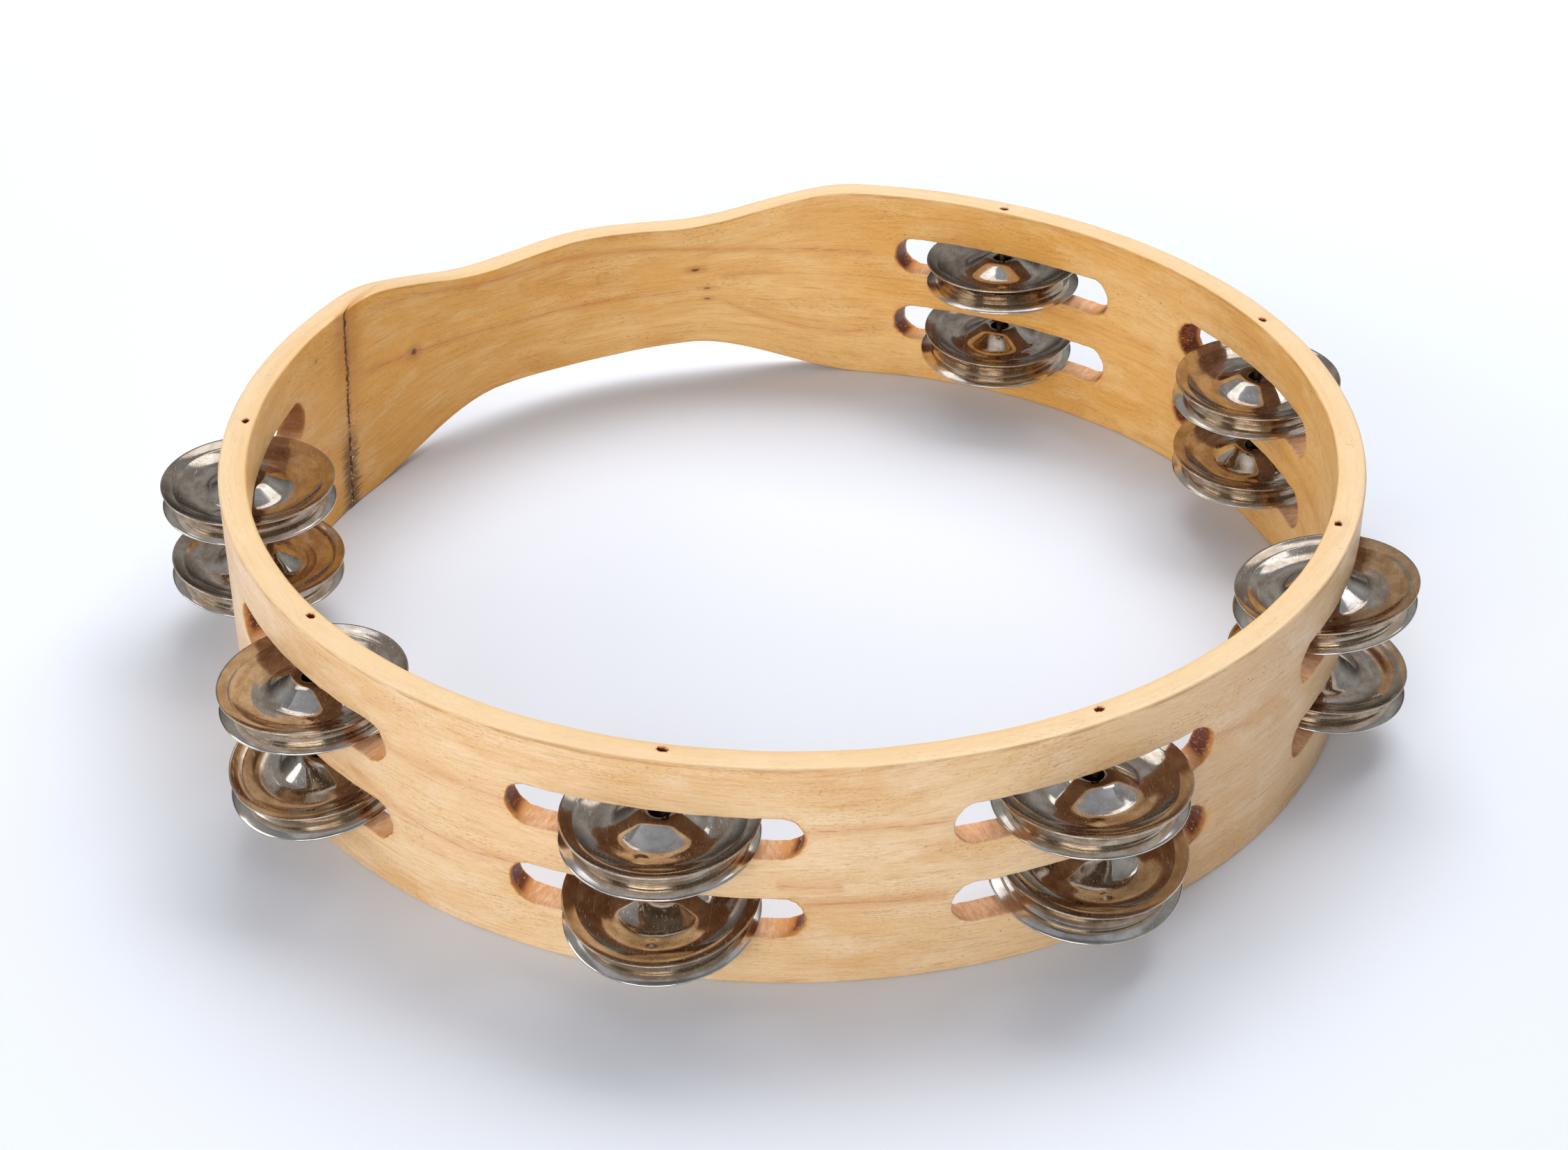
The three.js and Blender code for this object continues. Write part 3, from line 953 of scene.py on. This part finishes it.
def section_walk(step):
    """The hoop's section as (depth, height, outwards in depth, outwards in height), all the way round,
    starting at the inside face's bottom and going up."""
    straight = HEIGHT - 2 * EDGE_R
    flat = THICKNESS - 2 * EDGE_R
    walk = []
    corners = (
        (THICKNESS - EDGE_R, HEIGHT - EDGE_R, 0),
        (EDGE_R, HEIGHT - EDGE_R, 90),
        (EDGE_R, EDGE_R, 180),
        (THICKNESS - EDGE_R, EDGE_R, 270),
    )
    runs = (straight, flat, straight, flat)
    for (depth, height, turn), run in zip(corners, runs):
        out = math.radians(turn)
        out_depth, out_height = math.cos(out), math.sin(out)
        for share in np.linspace(-1, 0, round(run / step), endpoint=False):
            walk.append((
                depth + EDGE_R * out_depth + out_height * -share * run,
                height + EDGE_R * out_height + out_depth * share * run,
                out_depth, out_height,
            ))
        for more in np.radians(np.linspace(0, 90, 4, endpoint=False)):
            c, h = math.cos(out + more), math.sin(out + more)
            walk.append((depth + EDGE_R * c, height + EDGE_R * h, c, h))
    return walk


# The glue line: how far apart its rings are, the points in a ring, and a ring's half-width, how far
# it stands proud of its own middle, and how deep that middle lies.
GLUE_STEP = 0.45
GLUE_SIDES = 8
GLUE_HALF_WIDTH = 0.34
GLUE_RISE = 0.2
GLUE_SUNK = 0.05


def make_scarf_glue(material):
    """The dried glue line that stands a little proud all round the joint, with pale crumbs on it."""
    places, faces, pale, rings = [], [], [], []
    for depth, height, out_depth, out_height in section_walk(GLUE_STEP):
        wiggle = 0.5 * wavy(depth, height, 0, 3) + 0.4 * wavy(depth, height, 4, 0.9)
        angle = seam_angle(depth, height) + math.degrees(wiggle / OUTER_R)
        swell = 1 + 0.7 * wavy(depth, height, 8, 1.1) + 0.4 * wavy(depth, height, 3, 0.4)
        on_inside = smooth(THICKNESS - 1, THICKNESS - 0.2, depth)
        swell *= lerp(0.3, 1.2, on_inside)
        ring = []
        for turn in turns(GLUE_SIDES):
            aside = GLUE_HALF_WIDTH * swell * math.cos(turn)
            out = -GLUE_SUNK + GLUE_RISE * swell * math.sin(turn)
            side_angle = angle + math.degrees(aside / OUTER_R)
            ring.append(wall_place(side_angle, depth + out_depth * out, height + out_height * out))
        rings.append(add_ring(places, ring))
        pale += [(0.9 * (1 - on_inside), 0, 0)] * GLUE_SIDES
    bridge_all(faces, [*rings, rings[0]], closed=True)
    add_crumbs(places, faces, pale)
    made = add_closed("scarf_glue_line", places, faces, material)
    add_vectors(made.data, "pale", "POINT", pale)
    return made


CRUMB_COUNT = 90


def add_crumbs(places, faces, pale):
    """Small ragged balls of dried glue, thicker low down."""
    chance = random.Random(5)
    ball = bmesh.new()
    bmesh.ops.create_icosphere(ball, subdivisions=2, radius=1)
    for _ in range(CRUMB_COUNT):
        height = chance.uniform(1, HEIGHT - 1) * chance.uniform(0.4, 1)
        size = chance.uniform(0.12, 0.34)
        angle = seam_angle(THICKNESS, height) + math.degrees(chance.gauss(0, 0.4) / INNER_R)
        seed = chance.uniform(0, 50)
        first = len(places)
        for vertex in ball.verts:
            x, y, z = vertex.co
            reach = size * (1 + 0.5 * wavy(x + seed, y, z, 0.8))
            place_angle = angle + math.degrees(reach * x / INNER_R)
            places.append(wall_place(place_angle, THICKNESS - reach * y * 0.6 + 0.03, height + reach * z))
            pale.append((1, 0, 0))
        faces += [tuple(first + vertex.index for vertex in face.verts) for face in ball.faces]
    ball.free()


# ------------ pins


def lathe(profile, sides):
    """A closed [radius, height] outline turned about the z axis: places and faces."""
    outline = np.array(profile, float)
    radii = outline[:, 0][:, None]
    x = radii * np.cos(turns(sides))
    y = radii * np.sin(turns(sides))
    z = np.repeat(outline[:, 1][:, None], sides, axis=1)
    places = np.stack([x, y, z], axis=-1).reshape(-1, 3)
    rings = [list(range(i * sides, (i + 1) * sides)) for i in range(len(outline))]
    faces = []
    bridge_all(faces, [*rings, rings[0]], closed=True)
    return places, faces


# A pin's outline: heights above its point, then depths below its top, with the share of its radius.
PIN_POINT = ((0, 0.06), (0.8, 0.45), (2.5, 1), (12, 1))
PIN_TOP = ((12, 1), (0.25, 1), (0.06, 0.86), (0, 0.6))
PIN_SIDES = 24


def make_pin(index, material):
    """A nail: a drawn shank with a clipped top and a tapered point."""
    low, high = (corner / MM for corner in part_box(f"pin_{index + 1}"))
    middle = (low + high) / 2
    radius = (high.x - low.x) / 2
    from_point = [(low.z + up, share) for up, share in PIN_POINT]
    to_top = [(high.z - down, share) for down, share in PIN_TOP]
    places, faces, rings = [], [], []
    for height, share in (*from_point, (middle.z, 1), *to_top):
        ring = []
        for turn in turns(PIN_SIDES):
            across, up = math.cos(turn), math.sin(turn)
            reach = radius * share * (1 + 0.03 * wavy(across * 2, up * 2, height, 1.5))
            ring.append((middle.x + reach * across, middle.y + reach * up, height))
        rings.append(add_ring(places, ring))
    bridge_all(faces, rings, closed=True)
    faces += [tuple(reversed(rings[0])), tuple(rings[-1])]
    return add_closed(f"nail_{index + 1}", places, faces, material)


# ------------ jingles


def plate_height(radius):
    """Height of the middle of the sheet at a radius: boss, valley, and upturned flange."""
    if radius < JINGLE_VALLEY_R:
        fall = straight_ramp(JINGLE_BOSS_R, JINGLE_BOSS_FOOT_R, radius)
        lip = -0.22 * math.exp(-(radius - JINGLE_HOLE_R) / 0.3)
        return lerp(JINGLE_BOSS_RISE, -JINGLE_VALLEY_DEPTH, fall) + lip
    if radius < JINGLE_FLANGE_R:
        share = (radius - JINGLE_VALLEY_R) / (JINGLE_FLANGE_R - JINGLE_VALLEY_R)
        return lerp(-JINGLE_VALLEY_DEPTH, -JINGLE_FLANGE_DROP, share**1.7)
    share = (radius - JINGLE_FLANGE_R) / (JINGLE_R - JINGLE_FLANGE_R)
    return lerp(-JINGLE_FLANGE_DROP, 0, share**1.4)


def plate_radii():
    """Radii from the hole to the rim, closer together where the sheet bends sharply."""
    stretches = (
        (JINGLE_HOLE_R, JINGLE_HOLE_R + 0.9, 4),
        (JINGLE_HOLE_R + 0.9, JINGLE_VALLEY_R, 13),
        (JINGLE_VALLEY_R, JINGLE_FLANGE_R - 0.2, 10),
        (JINGLE_FLANGE_R - 0.2, JINGLE_FLANGE_R + 0.3, 3),
        (JINGLE_FLANGE_R + 0.3, JINGLE_R, 7),
    )
    radii = []
    for start, end, steps in stretches:
        radii += np.linspace(start, end, steps, endpoint=False).tolist()
    return [*radii, JINGLE_R]


def plate_profile():
    """The sheet's closed outline: underside outwards, round the rim, and back along the open side."""
    half = JINGLE_THICKNESS / 2
    radii = plate_radii()
    under = [(radius, plate_height(radius) - half) for radius in radii]
    open_side = [(radius, plate_height(radius) + half) for radius in reversed(radii)]
    rim = [(JINGLE_R + 0.07, -half * 0.55), (JINGLE_R + 0.09, 0), (JINGLE_R + 0.07, half * 0.55)]
    hole_height = plate_height(JINGLE_HOLE_R)
    hole = [(JINGLE_HOLE_R - 0.07, hole_height + half * side) for side in (0.5, -0.5)]
    return [*under, *rim, *open_side, *hole]


def jingle_pose(name):
    """A jingle's rim centre and its own x, y and z directions, z out of the open side."""
    corners = np.array([vertex.co for vertex in frame["nodes"][name].data.vertices], float) / MM
    corners = np.unique(np.round(corners, 3), axis=0)
    middle = corners.mean(axis=0)
    axis = np.linalg.svd(corners - middle)[2][2]
    heights = (corners - middle) @ axis
    radii = np.linalg.norm(corners - middle - heights[:, None] * axis, axis=1)
    rim_height = heights[radii > 0.97 * radii.max()].mean()
    in_valley = abs(radii - FRAME_VALLEY_R) < 0.5
    if heights[in_valley].mean() > rim_height:
        axis = -axis
        rim_height = -rim_height
    x = np.cross(axis, (0, 1, 0))
    x /= np.linalg.norm(x)
    return middle + axis * rim_height, x, np.cross(axis, x), axis


DISH_DENTS = 6
RIM_DENTS = 3
RIM_DENT_SIZE = 2.4
DIMPLE_REACH = 11.9
DIMPLE_SIZE = 0.8
DIMPLE_HEIGHT = 0.42


def add_dents(places, chance):
    """Small knocks in the sheet, and the one dimple that every jingle has at the foot of its boss."""
    dents = []
    for _ in range(DISH_DENTS):
        reach = chance.uniform(7, 15.5)
        turn = chance.uniform(0, math.tau)
        dents.append((reach, turn, chance.uniform(1.2, 2.6), chance.uniform(-0.14, 0.14)))
    for _ in range(RIM_DENTS):
        reach = chance.uniform(18, 19.6)
        turn = chance.uniform(0, math.tau)
        dents.append((reach, turn, RIM_DENT_SIZE, chance.uniform(-0.12, 0.12)))
    dents.append((DIMPLE_REACH, chance.uniform(-0.6, 0.6), DIMPLE_SIZE, DIMPLE_HEIGHT))
    for reach, turn, size, height in dents:
        across = places[:, 0] - reach * math.cos(turn)
        other = places[:, 1] - reach * math.sin(turn)
        places[:, 2] += height * np.exp(-(across**2 + other**2) / size**2)
    return places


def make_jingle(name, material):
    chance = random.Random(name)
    places, faces = lathe(plate_profile(), JINGLE_SIDES)
    radii = np.hypot(places[:, 0], places[:, 1])
    plate = np.column_stack([places[:, 0], places[:, 1], radii])
    which = [chance.uniform(-200, 200), chance.uniform(-200, 200), float(name.endswith("top"))]
    places = add_dents(places, chance)
    warp = chance.uniform(0.02, 0.07)
    around = np.arctan2(places[:, 1], places[:, 0])
    places[:, 2] += warp * np.cos(2 * around + chance.uniform(0, 6)) * (radii / JINGLE_R) ** 2
    centre, x, y, z = jingle_pose(name)
    front = math.atan2(*(np.array((y, x)) @ camera_direction()))
    spin = front + chance.uniform(-0.3, 0.3)
    turned_x = places[:, 0] * math.cos(spin) - places[:, 1] * math.sin(spin)
    turned_y = places[:, 0] * math.sin(spin) + places[:, 1] * math.cos(spin)
    world = centre + turned_x[:, None] * x + turned_y[:, None] * y + places[:, 2][:, None] * z
    made = add_closed(name.replace("jingle", "plate"), world, faces, material)
    add_vectors(made.data, "plate", "POINT", plate)
    add_vectors(made.data, "which", "POINT", [which] * len(world))
    return made


# ------------ stage


def camera_direction():
    """From the hoop to the camera, along the floor."""
    turn = math.radians(CAMERA_AZIMUTH)
    return np.array((math.sin(turn), -math.cos(turn), 0))


def add_camera():
    rise = math.radians(CAMERA_ELEVATION)
    back = Vector(camera_direction()) * math.cos(rise) + Vector((0, 0, math.sin(rise)))
    data = bpy.data.cameras.new("camera")
    data.lens = CAMERA_LENS
    data.clip_start = 0.01
    camera = add_to_scene("camera", data)
    camera.location = CAMERA_TARGET + back * CAMERA_DISTANCE
    camera.rotation_euler = (-back).to_track_quat("-Z", "Y").to_euler()
    camera.rotation_euler.rotate_axis("Z", math.radians(CAMERA_ROLL))
    bpy.context.scene.camera = camera


def add_floor(material):
    corners = [(FLOOR_REACH * x, FLOOR_REACH * y, 0) for x, y in ((-1, -1), (1, -1), (1, 1), (-1, 1))]
    add_object("floor", corners, [(0, 1, 2, 3)], material)


def add_panel(name, azimuth, elevation, distance, width, depth, watts, tint="FFFFFF", shows_in_metal=True):
    """A soft box that faces the hoop. Azimuth 0 is on the -Y side."""
    turn, rise = math.radians(azimuth), math.radians(elevation)
    away = Vector((math.sin(turn) * math.cos(rise), -math.cos(turn) * math.cos(rise), math.sin(rise)))
    data = bpy.data.lights.new(name, "AREA")
    data.shape = "RECTANGLE"
    data.size = width
    data.size_y = depth
    data.energy = watts
    data.color = colour(tint)[:3]
    light = add_to_scene(name, data)
    light.visible_glossy = shows_in_metal
    light.location = Vector((0, 0, 0.03)) + away * distance
    light.rotation_euler = away.to_track_quat("Z", "Y").to_euler()


def add_world():
    """A dim grey studio for the metal to reflect, darker low down and overhead than half-way up."""
    world = bpy.data.worlds.new("studio")
    world.use_nodes = True
    tree = world.node_tree
    background = tree.nodes["Background"]
    place = tree.nodes.new("ShaderNodeTexCoord").outputs["Generated"]
    split = tree.nodes.new("ShaderNodeSeparateXYZ")
    ramp = tree.nodes.new("ShaderNodeValToRGB")
    tree.links.new(place, split.inputs[0])
    tree.links.new(split.outputs[2], ramp.inputs[0])
    tree.links.new(ramp.outputs[0], background.inputs[0])
    stops = ((0.0, "2C2A29"), (0.25, "5A5857"), (0.55, "A2A2A3"), (0.8, "7E828A"), (1.0, "4A4D54"))
    elements = ramp.color_ramp.elements
    elements[0].color = colour(stops[0][1])
    elements[1].color = colour(stops[-1][1])
    for position, code in stops[1:-1]:
        elements.new(position).color = colour(code)
    bpy.context.scene.world = world


add_camera()
add_world()
add_floor(floor_material())
add_panel("back_key", 138, 52, 1.4, 1.3, 0.9, 21.5, shows_in_metal=False)
add_panel("front_key", -45, 26, 1.4, 1.1, 0.5, 6, shows_in_metal=False)
add_panel("front_fill", -42, 17, 1.5, 1.2, 0.4, 7.5)
add_panel("left_fill", -110, 22, 1.5, 0.9, 0.5, 4)
add_panel("overhead_card", 154, 88, 1.3, 2.0, 1.0, 2.9, "C4CAD8")
add_panel("far_strip", 154, 63, 1.3, 1.5, 0.44, 2.6)
add_panel("right_strip", 90, 58, 1.3, 0.25, 0.5, 0.6, "DDE2EC")
add_panel("left_strip", -140, 58, 1.3, 0.25, 0.5, 0.5, "DDE2EC")

maple, glue, nail, nickel = maple_material(), glue_material(), nail_material(), nickel_material()
stations = [station_angle(index) for index in range(STATION_COUNT)]

hoop = make_hoop(stations, maple)
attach(hoop, "hoop")
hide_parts("hoop")

scarf = make_scarf_glue(glue)
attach(scarf, "hoop")
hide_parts("scarf_glue")

for index in range(STATION_COUNT):
    pin = make_pin(index, nail)
    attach(pin, "hoop")
    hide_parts(f"pin_{index + 1}")

for name in sorted(frame["nodes"]):
    if name.startswith("jingle"):
        jingle = make_jingle(name, nickel)
        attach(jingle, name)
        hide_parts(name)

bpy.context.scene.view_settings.view_transform = "Standard"
